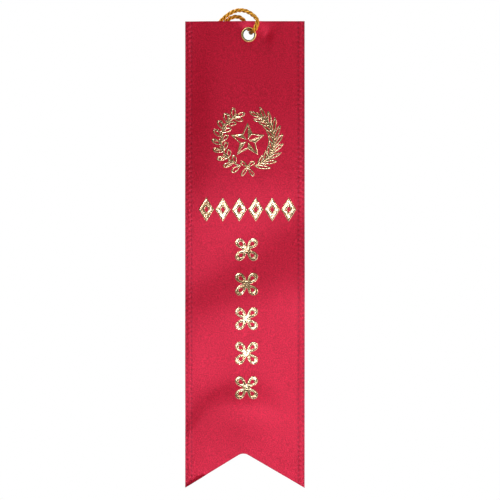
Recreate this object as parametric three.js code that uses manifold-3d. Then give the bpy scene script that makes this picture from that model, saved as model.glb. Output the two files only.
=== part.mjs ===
// A hanging award ribbon: a satin ribbon with a swallowtail end, a brass eyelet near the top,
// stamped foil ornaments on the face, and a twisted cord threaded through the eyelet and knotted.
//
// Millimetres. +Z is up, the printed face looks towards -Y, and +X is to the right of that face.
// The origin is the centre of the eyelet's hole, halfway through the cloth.

import * as THREE from 'three';
import { mergeVertices } from 'three/addons/utils/BufferGeometryUtils.js';
import Module from 'manifold-3d';

const wasm = await Module();
wasm.setup();

// ---- The ribbon ----
const RIBBON_WIDTH = 50.8; // two inches
const RIBBON_LENGTH = 198.4; // just under eight inches
const CLOTH = 0.3; // thickness of the satin
const EYELET_DROP = 5.75; // top edge to the centre of the eyelet
const EYELET_SIDE = 1.65; // the eyelet is this far right of the ribbon's centreline
const NOTCH_DEPTH = 15.2; // tips to the point where the two slanting cuts would meet
const NOTCH_SIDE = -0.65; // that point, from the ribbon's centreline
const NOTCH_RADIUS = 4; // the point is rounded off

const FACE = -CLOTH / 2; // y of the printed face
const BACK = CLOTH / 2; // y of the other face
const TOP = EYELET_DROP;
const BOTTOM = TOP - RIBBON_LENGTH;
const CENTRELINE = -EYELET_SIDE;
const LEFT = CENTRELINE - RIBBON_WIDTH / 2;
const RIGHT = CENTRELINE + RIBBON_WIDTH / 2;

// ---- The eyelet ----
const BORE = 2.28; // radius of the hole that the cord runs through
const WALL = 0.25; // sheet thickness of the barrel
const FIT = 0.3; // slack between the barrel and the punched cloth
const SEAT = 0.05; // the flanges stand this far off the cloth
const FRONT_FLANGE = 3.2; // outer radius
const FRONT_ROLL = 0.55; // height of the rounded front flange
const BACK_FLANGE = 3.05;
const BACK_ROLL = 0.5;

// ---- The foil ----
const FOIL = 0.1; // thickness
const LINE = 0.5; // width of the star's lines
const LEAF_LINE = 0.65; // width of the lines round a leaf
const EMBLEM = new THREE.Vector2(-0.5, -45); // centre of the star and the wreath
const STAR_TIP = 7.7;
const STAR_NOTCH = 3.6;
const STEM = 11.2; // radius of the wreath's two stems
const ROW = { x: -0.53, z: -74.3, count: 6, pitch: 7.0, width: 6.5, height: 10.4, line: 2.0 };
const COLUMN = { x: -0.96, z: -91.3, count: 5, pitch: 14.67 };
const ROSETTE = { petal: 6.1, breadth: 4.9, line: 1.45, hub: 1.7 };

// ---- The cord ----
const CORD = 1.6; // diameter
const JOIN = 0.3; // gap between two lengths of the cord that meet face to face
const TURN_STEP = 1.3; // spacing of the rings where the cord bends round the eyelet
const RUN_STEP = 4.4; // and where it hangs
const KNOT = { x: 9.4, y: 3.5, z: -82, width: 2.75, depth: 2.6, height: 3.2 };
const FOLD_SIDE = -4.8; // x of the place on both arcs where the loop folds

// Each route starts in the middle of the eyelet's bore and ends at the knot.
const FRONT_ROUTE = [
  [0.95, 0, 0.85], [1.25, -1.1, 0.8], [1.75, -2.1, 1.1], [2.35, -2.9, 1.7], [3.0, -3.35, 2.65],
  [3.45, -3.4, 3.85], [3.6, -3.1, 5.2], [3.2, -2.45, 6.5], [2.3, -1.7, 7.6], [0.6, -1.2, 9.0],
  [-1.6, -0.7, 10.05], [-4.4, 0.3, 10.4], [-7.1, 1.1, 9.7], [-9.3, 1.6, 8.4], [-11.1, 1.9, 6.9],
  [-12.6, 2.2, 5.3], [-13.8, 2.6, 3.0], [-14.3, 3.0, -0.4], [-13.6, 3.1, -5], [-11.4, 3.2, -11],
  [-7.8, 3.2, -18.5], [-3.6, 3.2, -27], [0.4, 3.2, -36], [3.8, 3.2, -46], [6.3, 3.3, -56.5],
  [7.8, 3.35, -67], [8.4, 3.45, -78.6],
];
const BACK_ROUTE = [
  [0.95, 0, 0.85], [0.85, 1.15, 1.05], [0.6, 2.1, 1.55], [0.25, 2.85, 2.25], [-0.25, 3.3, 3.3],
  [-0.9, 3.3, 4.55], [-1.5, 2.95, 5.65], [-2.4, 2.55, 6.7], [-3.6, 2.35, 7.6], [-5.1, 2.3, 7.95],
  [-6.6, 2.3, 7.8], [-7.9, 2.3, 7.3], [-9.1, 2.35, 6.5], [-10.3, 2.45, 5.4], [-11.3, 2.65, 4.0],
  [-11.95, 2.9, 2.0], [-12.0, 3.0, -0.6], [-11.1, 3.1, -5], [-8.9, 3.2, -10.5], [-5.0, 3.2, -18],
  [-0.4, 3.2, -26.5], [4.0, 3.2, -36], [7.6, 3.2, -46.5], [10.0, 3.3, -57], [10.9, 3.35, -67.5],
  [10.4, 3.45, -78.6],
];
const FRONT_TAIL = [[8.6, 3.45, -85.5], [7.9, 3.3, -88.6], [7.5, 3.1, -91.8], [7.4, 3.0, -95]];
const BACK_TAIL = [[10.3, 3.45, -85.5], [11.2, 3.3, -88.4], [11.9, 3.1, -91.2], [12.3, 3.0, -94]];

// ---- Finishes ----
const satin = new THREE.MeshStandardMaterial({ color: 0xb51d35, roughness: 0.42, metalness: 0 });
const brass = new THREE.MeshStandardMaterial({ color: 0xcdb572, roughness: 0.25, metalness: 1 });
const foil = new THREE.MeshStandardMaterial({ color: 0xc8ad6a, roughness: 0.28, metalness: 1 });
const cordage = new THREE.MeshStandardMaterial({ color: 0xcd8a26, roughness: 0.55, metalness: 0 });

// ---- Solids from flat outlines ----

const polar = (radius, degrees) => {
  const angle = THREE.MathUtils.degToRad(degrees);
  return new THREE.Vector2(radius * Math.cos(angle), radius * Math.sin(angle));
};

// Stands an outline drawn in x and z up in the ribbon's plane, from y down to y - thickness.
function plate(shape, thickness, y, curveSegments = 12) {
  const geometry = new THREE.ExtrudeGeometry(shape, {
    depth: thickness, bevelEnabled: false, steps: 1, curveSegments,
  });
  geometry.rotateX(Math.PI / 2);
  geometry.translate(0, y, 0);
  return geometry;
}

function toSolid(geometry) {
  const bare = geometry.clone();
  bare.deleteAttribute('normal');
  bare.deleteAttribute('uv');
  const merged = mergeVertices(bare, 1e-5);
  return new wasm.Manifold(new wasm.Mesh({
    numProp: 3,
    vertProperties: new Float32Array(merged.attributes.position.array),
    triVerts: new Uint32Array(merged.index.array),
  }));
}

function fromSolid(solid) {
  const { vertProperties, triVerts } = solid.getMesh();
  const geometry = new THREE.BufferGeometry();
  geometry.setAttribute('position', new THREE.BufferAttribute(vertProperties, 3));
  geometry.setIndex(new THREE.BufferAttribute(triVerts, 1));
  geometry.computeVertexNormals();
  return geometry;
}

const joined = (geometries) =>
  fromSolid(geometries.map(toSolid).reduce((whole, piece) => whole.add(piece)));

const foilPlate = (shape) => plate(shape, FOIL, FACE);

function piece(name, geometry, material) {
  const mesh = new THREE.Mesh(geometry, material);
  mesh.name = name;
  return mesh;
}

// ---- The ribbon: a plate with a swallowtail cut and a punched hole ----

function ribbonOutline() {
  const apex = new THREE.Vector2(CENTRELINE + NOTCH_SIDE, BOTTOM + NOTCH_DEPTH);
  const toLeft = new THREE.Vector2(LEFT, BOTTOM).sub(apex).normalize();
  const toRight = new THREE.Vector2(RIGHT, BOTTOM).sub(apex).normalize();
  const halfAngle = Math.acos(toLeft.dot(toRight)) / 2;
  const down = toLeft.clone().add(toRight).normalize();
  const centre = apex.clone().addScaledVector(down, NOTCH_RADIUS / Math.sin(halfAngle));
  const reach = NOTCH_RADIUS / Math.tan(halfAngle);
  const leftEnd = apex.clone().addScaledVector(toLeft, reach).sub(centre);
  const rightEnd = apex.clone().addScaledVector(toRight, reach).sub(centre);

  const outline = new THREE.Shape();
  outline.moveTo(LEFT, TOP);
  outline.lineTo(LEFT, BOTTOM);
  outline.absarc(centre.x, centre.y, NOTCH_RADIUS, leftEnd.angle(), rightEnd.angle(), true);
  outline.lineTo(RIGHT, BOTTOM);
  outline.lineTo(RIGHT, TOP);
  outline.closePath();
  outline.holes.push(new THREE.Path().absarc(0, 0, BORE + WALL + FIT, 0, 2 * Math.PI));
  return outline;
}

const ribbon = () => piece('ribbon', plate(ribbonOutline(), CLOTH, BACK), satin);

// ---- The eyelet: one turned profile, rolled over on both faces ----

function rollArc(outer, seat, height, steps = 6) {
  const middle = (outer + BORE) / 2;
  const points = [];
  for (let i = 0; i <= steps; i += 1) {
    const angle = (Math.PI * i) / steps;
    const radius = middle - (outer - middle) * Math.cos(angle);
    points.push(new THREE.Vector2(radius, seat + height * Math.sin(angle)));
  }
  return points;
}

function eyelet() {
  const frontSeat = FACE - SEAT;
  const backSeat = BACK + SEAT;
  const profile = [
    ...rollArc(FRONT_FLANGE, frontSeat, -FRONT_ROLL),
    new THREE.Vector2(BORE + WALL, frontSeat),
    new THREE.Vector2(BORE + WALL, backSeat),
    ...rollArc(BACK_FLANGE, backSeat, BACK_ROLL).reverse(),
  ];
  profile.push(profile[0].clone());
  return piece('eyelet', new THREE.LatheGeometry(profile, 40), brass);
}

// ---- The star: each arm is filled on one side of its ridge and outlined on the other ----

function star() {
  const at = (radius, degrees) => polar(radius, degrees).add(EMBLEM);
  const hub = 0.42; // the filled halves stop this far from the centre
  const lap = 0.5; // how far a line runs into the next filled half
  const parts = [];
  for (let arm = 0; arm < 5; arm += 1) {
    const heading = 90 - 72 * arm;
    const tip = at(STAR_TIP, heading);
    const filled = new THREE.Shape([tip, at(STAR_NOTCH, heading - 36), at(hub, heading - 18)]);
    parts.push(foilPlate(filled));

    const notch = at(STAR_NOTCH, heading + 36);
    const along = notch.clone().sub(tip).normalize();
    const inward = new THREE.Vector2(-along.y, along.x).multiplyScalar(LINE);
    const end = notch.clone().addScaledVector(along, lap);
    const start = at(STAR_TIP - 1.5, heading - 1);
    const line = new THREE.Shape([tip, end, end.clone().add(inward), start]);
    parts.push(foilPlate(line));
  }
  return piece('foil_star', joined(parts), foil);
}

// ---- The wreath: leaves drawn as closed lines on two curved stems ----

// Points of a leaf, anticlockwise from its base. bulge above 0 makes the far end rounder.
function leafPoints(base, heading, length, width, bulge, count) {
  const forward = polar(1, heading);
  const across = new THREE.Vector2(forward.y, -forward.x);
  const points = [];
  for (let i = 0; i < count; i += 1) {
    const turn = (2 * Math.PI * i) / count;
    const half = (width / 2) * Math.sin(turn) * Math.sin(turn / 2) ** bulge;
    points.push(base.clone()
      .addScaledVector(forward, (length * (1 - Math.cos(turn))) / 2)
      .addScaledVector(across, half));
  }
  return points;
}

function leafRing(base, heading, length, width, bulge, line = LEAF_LINE, count = 14) {
  const outline = new THREE.Shape(leafPoints(base, heading, length, width, bulge, count));
  const inner = base.clone().addScaledVector(polar(1, heading), 1.6 * line);
  const opening = leafPoints(inner, heading, length - 2.8 * line, width - 2 * line, bulge, count - 4);
  outline.holes.push(new THREE.Path(opening));
  return foilPlate(outline);
}

function disc(centre, radius, count = 8) {
  const points = [];
  for (let i = 0; i < count; i += 1) {
    points.push(polar(radius, (360 * i) / count).add(centre));
  }
  return foilPlate(new THREE.Shape(points));
}

function bar(start, end, width) {
  const side = end.clone().sub(start).normalize().multiplyScalar(width / 2);
  const across = new THREE.Vector2(-side.y, side.x);
  return foilPlate(new THREE.Shape([
    start.clone().add(across), start.clone().sub(across),
    end.clone().sub(across), end.clone().add(across),
  ]));
}

// A curved stem from the bow to the top of the wreath. side is 1 for the right branch, -1 for the left.
function stem(side, from, to, width, steps = 16) {
  const outer = [];
  const inner = [];
  for (let i = 0; i <= steps; i += 1) {
    const degrees = from + ((to - from) * i) / steps;
    outer.push(onBranch(side, STEM + width / 2, degrees));
    inner.unshift(onBranch(side, STEM - width / 2, degrees));
  }
  return foilPlate(new THREE.Shape([...outer, ...inner]));
}

// A point of a branch: degrees run from -90 at the bow, through 0 at the side, to 90 at the top.
function onBranch(side, radius, degrees) {
  const point = polar(radius, degrees);
  return new THREE.Vector2(side * point.x, point.y).add(EMBLEM);
}

// The heading of a leaf that leaves the stem at an angle of lean outwards from its direction of growth.
const growth = (side, degrees, lean) =>
  (side > 0 ? degrees + 90 - lean : 90 - degrees + lean);

const spread = (from, to, count) =>
  Array.from({ length: count }, (_, i) => from + ((to - from) * i) / (count - 1));

// Narrow pointed leaves with a berry at each outer tip.
function laurelBranch() {
  const parts = [stem(1, -75, 66, 0.7)];
  for (const degrees of spread(-74, 46, 9)) {
    const base = onBranch(1, STEM, degrees);
    const heading = growth(1, degrees, 24);
    parts.push(leafRing(base, heading, 6.4, 1.9, 0));
    parts.push(disc(polar(6.3, heading).add(base), 0.45));
  }
  for (const degrees of spread(-67, 50, 9)) {
    parts.push(leafRing(onBranch(1, STEM, degrees), growth(1, degrees, -38), 4.7, 1.75, 0));
  }
  for (const degrees of spread(-60, 56, 8)) {
    parts.push(leafRing(onBranch(1, STEM, degrees), growth(1, degrees, 10), 3.6, 1.5, 0, 0.4));
  }
  parts.push(leafRing(onBranch(1, STEM, 64), growth(1, 64, 2), 4.6, 1.8, 0));
  return piece('foil_wreath_right', joined(parts), foil);
}

// Rounded leaves with acorns between them.
function oakBranch() {
  const parts = [stem(-1, -75, 66, 0.7)];
  for (const degrees of spread(-74, 56, 9)) {
    parts.push(leafRing(onBranch(-1, STEM, degrees), growth(-1, degrees, 52), 4.7, 2.6, 0.6));
  }
  for (const degrees of spread(-64, 58, 7)) {
    parts.push(leafRing(onBranch(-1, STEM, degrees), growth(-1, degrees, -46), 4.2, 2.4, 0.6));
  }
  for (const degrees of spread(-60, 56, 8)) {
    parts.push(leafRing(onBranch(-1, STEM, degrees), growth(-1, degrees, 4), 3.0, 1.7, 0.5, 0.45));
  }
  for (const degrees of spread(-51.5, 53, 7)) {
    const foot = onBranch(-1, STEM, degrees - 3);
    const cup = onBranch(-1, STEM + 2.4, degrees);
    parts.push(bar(foot, cup, 0.5));
    parts.push(disc(cup, 0.62));
  }
  parts.push(leafRing(onBranch(-1, STEM, 64), growth(-1, 64, -3), 4.2, 2.4, 0.6));
  return piece('foil_wreath_left', joined(parts), foil);
}

// Two loops, two tails and a round knot where the stems meet.
function bow() {
  const centre = polar(STEM, -90).add(EMBLEM);
  const parts = [disc(centre, 0.95, 12)];
  for (const heading of [38, 142]) {
    parts.push(leafRing(centre, heading, 3.8, 2.3, 0.8));
  }
  for (const heading of [-56, -124]) {
    parts.push(leafRing(centre, heading, 4.8, 2.1, 0.8));
  }
  return piece('foil_bow', joined(parts), foil);
}

// ---- The row of lozenges and the column of rosettes ----

function lozenge(name, x, z) {
  const rhombus = (halfWidth, halfHeight) => [
    new THREE.Vector2(x, z + halfHeight), new THREE.Vector2(x - halfWidth, z),
    new THREE.Vector2(x, z - halfHeight), new THREE.Vector2(x + halfWidth, z),
  ];
  const shape = new THREE.Shape(rhombus(ROW.width / 2, ROW.height / 2));
  const shrink = ROW.line / (ROW.width / 2) * Math.hypot(1, ROW.width / ROW.height);
  const rest = 1 - shrink;
  shape.holes.push(new THREE.Path(rhombus((ROW.width / 2) * rest, (ROW.height / 2) * rest)));
  return piece(name, foilPlate(shape), foil);
}

function rosette(name, x, z) {
  const centre = new THREE.Vector2(x, z);
  const petals = [45, 135, 225, 315].map((heading) =>
    leafRing(centre, heading, ROSETTE.petal, ROSETTE.breadth, 0.9, ROSETTE.line));
  return piece(name, joined([disc(centre, ROSETTE.hub, 12), ...petals]), foil);
}

function lozenges() {
  return spread(0, ROW.count - 1, ROW.count).map((place) => {
    const x = ROW.x + (place - (ROW.count - 1) / 2) * ROW.pitch;
    return lozenge(`foil_lozenge_${place + 1}`, x, ROW.z);
  });
}

function rosettes() {
  return spread(0, COLUMN.count - 1, COLUMN.count).map((place) =>
    rosette(`foil_rosette_${place + 1}`, COLUMN.x, COLUMN.z - place * COLUMN.pitch));
}

// ---- The cord ----

const route = (points) =>
  new THREE.CatmullRomCurve3(points.map((p) => new THREE.Vector3(...p)), false, 'centripetal');

// The part of a curve between two distances along it, as a curve of its own.
class Stretch extends THREE.Curve {
  constructor(whole, from, to) {
    super();
    this.whole = whole;
    this.from = from / whole.getLength();
    this.to = to / whole.getLength();
  }

  getPoint(t, target) {
    return this.whole.getPointAt(THREE.MathUtils.lerp(this.from, this.to, t), target);
  }
}

function tube(curve, step) {
  const section = [];
  for (let i = 0; i < 8; i += 1) {
    section.push(polar(CORD / 2, 45 * i));
  }
  return new THREE.ExtrudeGeometry(new THREE.Shape(section), {
    extrudePath: curve, steps: Math.ceil(curve.getLength() / step), bevelEnabled: false,
  });
}

// Distance along a curve from its start to where it first reaches x on the left.
function distanceToSide(curve, x) {
  const length = curve.getLength();
  const ticks = 4000;
  for (let i = 0; i <= ticks; i += 1) {
    if (curve.getPointAt(i / ticks).x < x) {
      return (length * i) / ticks;
    }
  }
  return length;
}

function cord() {
  const front = route(FRONT_ROUTE);
  const back = route(BACK_ROUTE);
  const frontFold = distanceToSide(front, FOLD_SIDE);
  const backFold = distanceToSide(back, FOLD_SIDE);
  const round = route([...[...FRONT_ROUTE].reverse(), ...BACK_ROUTE.slice(1)]);
  const middle = front.getLength();
  const turn = new Stretch(round, middle - frontFold + JOIN / 2, middle + backFold - JOIN / 2);
  const strand = (curve, fold) => new Stretch(curve, fold + JOIN, curve.getLength() - JOIN);
  return [
    piece('cord_in_eyelet', tube(turn, TURN_STEP), cordage),
    piece('cord_strand_front', tube(strand(front, frontFold), RUN_STEP), cordage),
    piece('cord_strand_back', tube(strand(back, backFold), RUN_STEP), cordage),
    piece('cord_tail_front', tube(route(FRONT_TAIL), RUN_STEP), cordage),
    piece('cord_tail_back', tube(route(BACK_TAIL), RUN_STEP), cordage),
  ];
}

function knot() {
  const mesh = piece('cord_knot', new THREE.SphereGeometry(1, 14, 10), cordage);
  mesh.position.set(KNOT.x, KNOT.y, KNOT.z);
  mesh.scale.set(KNOT.width, KNOT.depth, KNOT.height);
  return mesh;
}

const awardRibbon = new THREE.Group();
awardRibbon.add(ribbon(), eyelet(), star(), oakBranch(), laurelBranch(), bow());
awardRibbon.add(...lozenges(), ...rosettes(), ...cord(), knot());

export default awardRibbon;
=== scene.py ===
# A hanging award ribbon: crimson satin with a swallowtail end, a brass eyelet, stamped gold foil
# and a twisted cord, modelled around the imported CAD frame.
#
# Lengths are in millimetres until a mesh is made, and MM turns them into Blender's metres.
# +Z is up, the printed face looks towards -Y, and the origin is the centre of the eyelet's hole.

import math

import bpy
import numpy as np
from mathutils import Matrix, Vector


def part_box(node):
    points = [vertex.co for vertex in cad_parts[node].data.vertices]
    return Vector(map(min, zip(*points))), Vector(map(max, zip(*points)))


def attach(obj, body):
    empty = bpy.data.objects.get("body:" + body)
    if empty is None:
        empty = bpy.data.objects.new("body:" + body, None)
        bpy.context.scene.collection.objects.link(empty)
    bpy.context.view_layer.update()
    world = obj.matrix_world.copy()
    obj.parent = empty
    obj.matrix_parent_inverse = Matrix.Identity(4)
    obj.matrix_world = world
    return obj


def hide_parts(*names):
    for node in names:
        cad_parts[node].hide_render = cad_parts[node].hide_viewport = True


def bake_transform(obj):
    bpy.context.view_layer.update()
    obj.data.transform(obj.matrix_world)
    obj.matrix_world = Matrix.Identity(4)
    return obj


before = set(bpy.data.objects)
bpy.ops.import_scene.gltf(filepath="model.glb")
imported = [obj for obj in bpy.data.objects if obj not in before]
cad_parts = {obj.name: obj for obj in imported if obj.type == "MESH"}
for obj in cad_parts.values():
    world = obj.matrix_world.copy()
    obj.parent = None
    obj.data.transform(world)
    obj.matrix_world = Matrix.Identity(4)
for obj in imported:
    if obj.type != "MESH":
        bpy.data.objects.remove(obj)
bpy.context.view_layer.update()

MM = 0.001


def box_mm(node):
    """The lowest and highest corner of a CAD node, in millimetres."""
    low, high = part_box(node)
    return np.array(low) / MM, np.array(high) / MM


RIBBON_LOW, RIBBON_HIGH = box_mm("ribbon")
LEFT, FACE, BOTTOM = RIBBON_LOW
RIGHT, BACK, TOP = RIBBON_HIGH
MIDDLE = (LEFT + RIGHT) / 2

# ---- The cloth ----
NOTCH_DEPTH = 15.2  # tips to the point where the two slanting cuts would meet
NOTCH_SIDE = -0.65  # that point, from the middle of the ribbon's width
NOTCH_RADIUS = 4.0  # of the rounded corner there
HOLE = 2.83  # radius of the punched hole
SELVEDGE = 3.6  # width of the woven border on each side
FLAT_MARGIN = 1.2  # width over which the cloth leaves the flat ring under the eyelet

# ---- The eyelet ----
BORE = 2.28  # inner radius of the barrel
FRONT_FLANGE = box_mm("eyelet")[1][0]  # outer radius of the front roll
BACK_FLANGE = 3.05  # outer radius of the back roll
FRONT_TOP = -box_mm("eyelet")[0][1]  # how far the front roll stands from the cloth's middle
BACK_TOP = box_mm("eyelet")[1][1]  # the same for the back roll

# ---- The foil ----
LINE = 0.5  # width of the star's lines
LEAF_LINE = 0.65  # width of the lines round a leaf
EMBLEM = np.array([-0.5, -45.0])  # x and z of the middle of the star and the wreath
STAR_TIP = 7.7  # radius of the star's points
STAR_NOTCH = 3.6  # radius of the corners between them
STEM = 11.2  # radius of the wreath's stems
STEM_ENDS = (-75, 66)  # degrees, from just beside the bow to near the top
STEM_WIDTH = 0.7
LOZENGES = 6
LOZENGE_LINE = 2.0  # width of a lozenge's border
ROSETTES = 5
ROSETTE = {"petal": 6.1, "breadth": 4.9, "bulge": 0.9, "line": 1.45, "hub": 1.7}
FOIL_EDGE = 0.06  # how far the foil stands up at its outline
FOIL_RISE = 0.09  # how much further it stands up along a crest
CRINKLES = [(0.018, 0.55, 7), (0.009, 0.26, 8)]  # height, size and seed of its unevenness

# The leaves of each branch, row by row. First their spread: first and last angle, count, and lean
# outwards from the stem (below 0, inwards). Then their size: length, width, bulge and line width.
# The last row is the leaf at the branch's tip.
LAUREL_ROWS = [
    ((-74, 46, 9, 24), (6.4, 1.9, 0, LEAF_LINE)),
    ((-67, 50, 9, -38), (4.7, 1.75, 0, LEAF_LINE)),
    ((-60, 56, 8, 10), (3.6, 1.5, 0, 0.4)),
    ((64, 64, 1, 2), (4.6, 1.8, 0, LEAF_LINE)),
]
OAK_ROWS = [
    ((-74, 56, 9, 52), (4.7, 2.6, 0.6, LEAF_LINE)),
    ((-64, 58, 7, -46), (4.2, 2.4, 0.6, LEAF_LINE)),
    ((-60, 56, 8, 4), (3.0, 1.7, 0.5, 0.45)),
    ((64, 64, 1, -3), (4.2, 2.4, 0.6, LEAF_LINE)),
]
BERRY = {"reach": 6.3, "radius": 0.45}  # reach is from the base of its leaf
ACORN = {"start": -51.5, "end": 53, "count": 7, "reach": 2.4, "radius": 0.62, "stalk": 0.5,
         "trails": 3}  # its stalk leaves the stem this many degrees before the acorn

# ---- The cord ----
LAY = 5.9  # length of one turn of the plies
PLIES = 3
PLY_RADIUS = 0.43
PLY_OFFSET = 0.48  # from the cord's middle to the middle of a ply
PLY_SIDES = 14
# The knot's middle, the radius and height of its coil, and how many turns each strand takes.
KNOT = {"x": 9.4, "y": 3.5, "z": -82.0, "radius": 1.6, "height": 3.6, "turns": 1.75}

# Both strands start inside the eyelet's barrel and end at the top of the knot. Each tail starts
# below it. At FRONT_ROUTE[RIM] the front strand has just come over the eyelet's front rim.
RIM = 4
FRONT_ROUTE = [
    (0.95, 0, 0.85), (1.25, -1.1, 0.8), (1.75, -2.1, 1.1), (2.35, -2.9, 1.7), (3.0, -3.35, 2.65),
    (3.45, -3.4, 3.85), (3.6, -3.1, 5.2), (3.2, -2.45, 6.5), (2.3, -1.7, 7.6), (0.6, -1.2, 9.0),
    (-1.6, -0.7, 10.05), (-4.4, 0.3, 10.4), (-7.1, 1.1, 9.7), (-9.3, 1.6, 8.4), (-11.1, 1.9, 6.9),
    (-12.6, 2.2, 5.3), (-13.8, 2.6, 3.0), (-14.3, 3.0, -0.4), (-13.6, 3.1, -5), (-11.4, 3.2, -11),
    (-7.8, 3.2, -18.5), (-3.6, 3.2, -27), (0.4, 3.2, -36), (3.8, 3.2, -46), (6.3, 3.3, -56.5),
    (7.8, 3.35, -67), (8.4, 3.45, -78.6),
]
BACK_ROUTE = [
    (0.95, 0, 0.85), (0.85, 1.15, 1.05), (0.6, 2.1, 1.55), (0.25, 2.85, 2.25), (-0.25, 3.3, 3.3),
    (-0.9, 3.3, 4.55), (-1.5, 2.95, 5.65), (-2.4, 2.55, 6.7), (-3.6, 2.35, 7.6), (-5.1, 2.3, 7.95),
    (-6.6, 2.3, 7.8), (-7.9, 2.3, 7.3), (-9.1, 2.35, 6.5), (-10.3, 2.45, 5.4), (-11.3, 2.65, 4.0),
    (-11.95, 2.9, 2.0), (-12.0, 3.0, -0.6), (-11.1, 3.1, -5), (-8.9, 3.2, -10.5), (-5.0, 3.2, -18),
    (-0.4, 3.2, -26.5), (4.0, 3.2, -36), (7.6, 3.2, -46.5), (10.0, 3.3, -57), (10.9, 3.35, -67.5),
    (10.4, 3.45, -78.6),
]
FRONT_TAIL = [(8.6, 3.45, -85.5), (7.9, 3.3, -88.6), (7.5, 3.1, -91.8), (7.4, 3.0, -95)]
BACK_TAIL = [(10.3, 3.45, -85.5), (11.2, 3.3, -88.4), (11.9, 3.1, -91.2), (12.3, 3.0, -94)]


# ---- Meshes ----


def make_piece(name, points, faces, finish, uv=None, fields=None, crease=50):
    """A mesh object from points in millimetres. uv and fields hold one value for each point."""
    points = np.asarray(points, float).reshape(-1, 3)
    mesh = bpy.data.meshes.new(name)
    mesh.from_pydata((points * MM).tolist(), [], [tuple(face) for face in faces])
    mesh.validate()
    if uv is not None:
        corners = np.zeros(len(mesh.loops), int)
        mesh.loops.foreach_get("vertex_index", corners)
        layer = mesh.uv_layers.new(name="Weave")
        layer.data.foreach_set("uv", np.asarray(uv, float)[corners].ravel())
    for field, values in (fields or {}).items():
        attribute = mesh.attributes.new(field, "FLOAT", "POINT")
        attribute.data.foreach_set("value", np.asarray(values, np.float32))
    mesh.shade_smooth()
    mesh.set_sharp_from_angle(angle=math.radians(crease))
    mesh.materials.append(finish)
    piece = bpy.data.objects.new(name, mesh)
    bpy.context.scene.collection.objects.link(piece)
    return piece


def grid_quads(columns, keep):
    """The quads of a grid of points, seen from -Y, where keep is true. Rows run down, columns right."""
    row, column = np.nonzero(keep)
    corner = row * columns + column
    return np.stack([corner, corner + columns, corner + columns + 1, corner + 1], axis=1)


def rim_edges(quads):
    """The directed edges that only one quad uses."""
    edges = np.concatenate([quads[:, [i, (i + 1) % 4]] for i in range(4)])
    size = edges.max() + 1
    forward = edges[:, 0] * size + edges[:, 1]
    backward = edges[:, 1] * size + edges[:, 0]
    return edges[~np.isin(forward, backward)]


def close_shell(front, back, quads):
    """Points and faces of a closed plate between two layers of points, and which it uses of each."""
    used, quads = np.unique(quads, return_inverse=True)
    quads = quads.reshape(-1, 4)
    count = len(used)
    rim = rim_edges(quads)
    walls = np.stack([rim[:, 1], rim[:, 0], rim[:, 0] + count, rim[:, 1] + count], axis=1)
    faces = np.concatenate([quads, quads[:, ::-1] + count, walls])
    return np.concatenate([front[used], back[used]]), faces, used


def cell_corners(cells):
    """Marks the points of a grid that are corners of its marked cells."""
    marked = np.zeros((cells.shape[0] + 1, cells.shape[1] + 1), bool)
    for rows in (slice(0, -1), slice(1, None)):
        for columns in (slice(0, -1), slice(1, None)):
            marked[rows, columns] |= cells
    return marked


def smooth(value):
    """0 below 0, 1 above 1, and a soft step between."""
    held = np.clip(value, 0, 1)
    return held * held * (3 - 2 * held)


def grain(x, z, size, seed):
    """Soft noise from -1 to 1 with lumps of about the given size."""
    cells = 64  # the pattern repeats after this many lumps
    table = np.random.default_rng(seed).uniform(-1, 1, (cells, cells))
    column, row = np.asarray(x) / size, np.asarray(z) / size
    left, low = np.floor(column).astype(int), np.floor(row).astype(int)
    across, up = smooth(column - left), smooth(row - low)

    def lattice(right, above):
        return table[(low + above) % cells, (left + right) % cells]

    below = lattice(0, 0) * (1 - across) + lattice(1, 0) * across
    over = lattice(0, 1) * (1 - across) + lattice(1, 1) * across
    return below * (1 - up) + over * up


# ---- The way the cloth hangs ----

# The crests and troughs of the cloth from top to bottom: z at the left edge and at the right,
# then how far forward of flat the cloth stands at each.
FOLDS = [
    (TOP, TOP, 0.0, 0.0),
    (-60, -60, 0.9, 0.9),
    (-107, -75, -0.9, 0.6),
    (-124, -108, -0.2, 2.0),
    (-147, -146, -1.1, 0.0),
    (-157, -158, -0.7, 0.25),
    (BOTTOM, BOTTOM, -1.2, -0.4),
]

# Below a height the folds droop to both sides of a middle line, as an arch. left and right are the
# arch's half widths, and the droop eases in below the height and out above the bottom.
ARCH = {"height": -118, "middle": -5.8, "left": 17, "right": 28, "droop": 10.5,
        "ease_in": 24, "ease_out": 20}

# Soft local dents and swells: centre x and z, half width across and down, how far forward.
SWELLS = [
    (LEFT, -30, 6, 28, -2.1),
    (LEFT, -162, 4.5, 14, -0.7),
    (-5, -160, 13, 8, 1.2),
    (8.1, 0.6, 1.2, 2.3, -0.55),
    (-1.2, 7.4, 2.6, 2.4, 0.7),
    (3.7, 5.2, 1.1, 2.2, 0.3),
]

# The curl of the left tip: where along the cut it grows, where it eases off again towards the
# corner and by how much, how far forward it comes, and how far above the cut it reaches.
CURL = {"grows": -17.5, "grows_over": 3, "eases": -24, "eases_over": 2.5, "eases_by": 0.6,
        "rise": 0.8, "reach": 0.9}


def folds(x, z):
    """How far forward the folds bring the cloth."""
    right = (x - LEFT) / (RIGHT - LEFT)
    aside = x - ARCH["middle"]
    aside = aside / np.where(aside < 0, ARCH["left"], ARCH["right"])
    ease_in = smooth((ARCH["height"] - z) / ARCH["ease_in"])
    ease_out = smooth((z - BOTTOM) / ARCH["ease_out"])
    z = z + ARCH["droop"] * aside**2 * ease_in * ease_out
    forward = np.zeros(np.broadcast(x, z).shape)
    for upper, lower in zip(FOLDS, FOLDS[1:]):
        start_z, start = (upper[i] + (upper[i + 1] - upper[i]) * right for i in (0, 2))
        end_z, end = (lower[i] + (lower[i + 1] - lower[i]) * right for i in (0, 2))
        forward = forward + (end - start) * smooth((z - start_z) / (end_z - start_z))
    return forward


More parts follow.
